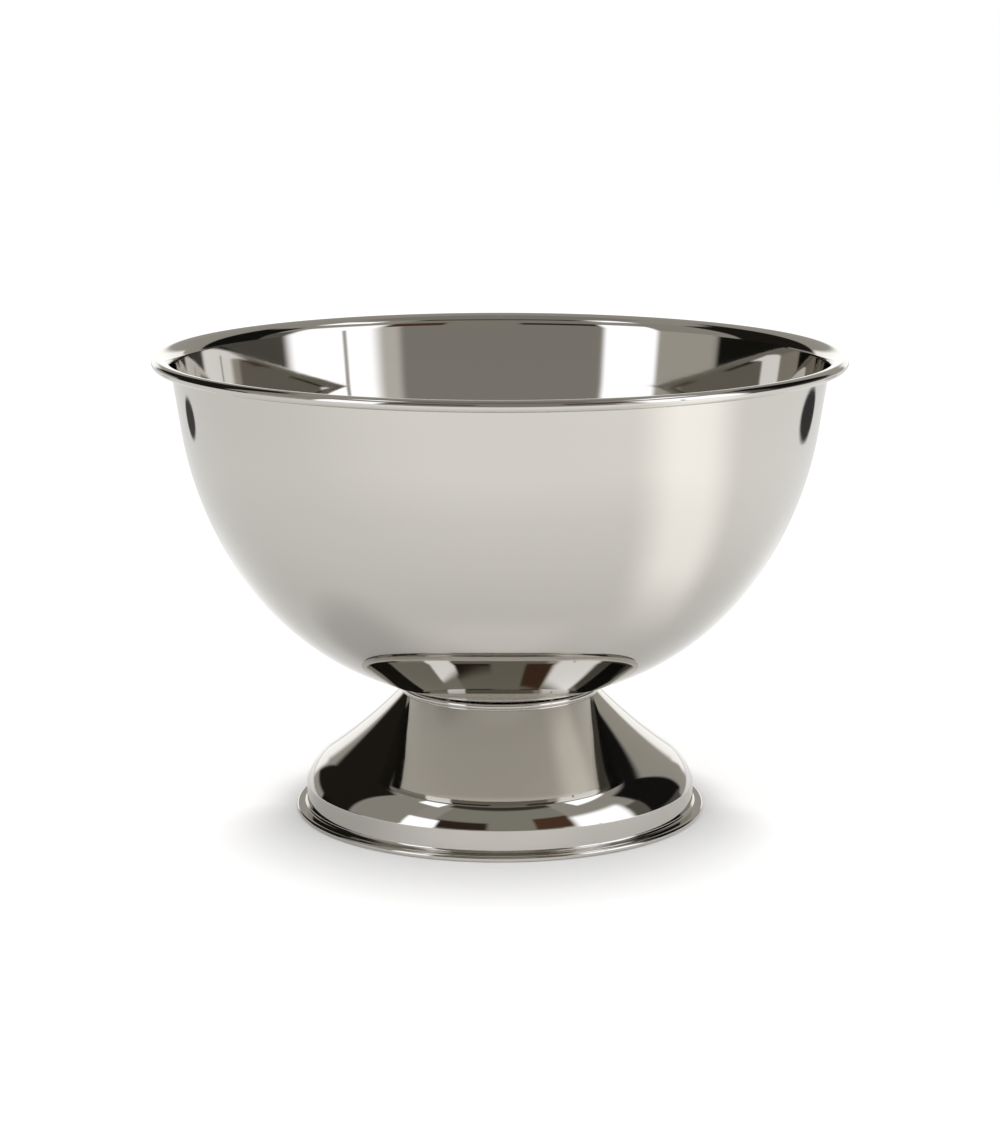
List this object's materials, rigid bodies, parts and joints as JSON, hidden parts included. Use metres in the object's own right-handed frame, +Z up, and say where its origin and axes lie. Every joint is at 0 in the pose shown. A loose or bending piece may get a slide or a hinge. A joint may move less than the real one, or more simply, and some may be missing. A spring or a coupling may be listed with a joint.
{
  "type": "punch bowl",
  "caption": "Round polished steel punch bowl with a rolled rim, on a hollow flared foot clamped by a stud and a wing nut.",
  "frame": {"origin": "centre of the circle that the foot stands on, at the table", "axes": "+Z up along the bowl's axis of symmetry; the wing nut's wings lie along X at rest"},
  "size_m": [0.3699, 0.37, 0.2493],
  "materials": {
    "polished_sheet": "mirror-polished stainless steel sheet",
    "fastener_steel": "plain machined stainless steel"
  },
  "bodies": {
    "foot_body": {"foot": "polished_sheet", "clamp_plate": "fastener_steel", "washer": "fastener_steel", "spring_washer": "fastener_steel"},
    "bowl_body": {"bowl": "polished_sheet", "stud_plate": "fastener_steel", "stud": "fastener_steel"},
    "nut_body": {"wing_nut": "fastener_steel"}
  },
  "joints": [
    {"name": "bowl_lift", "type": "slide", "parent": "foot_body", "child": "bowl_body", "axis": [0, 0, 1], "range_m": [0, 0.01094]},
    {"name": "nut_turn", "type": "hinge", "parent": "foot_body", "child": "nut_body", "pos_m": [0, 0, 0.047], "axis": [0, 0, -1], "range_deg": [0, 3151]}
  ],
  "couplings": [
    {"joint": "nut_turn", "follows": "bowl_lift", "rad_per_m": 5026.5}
  ]
}
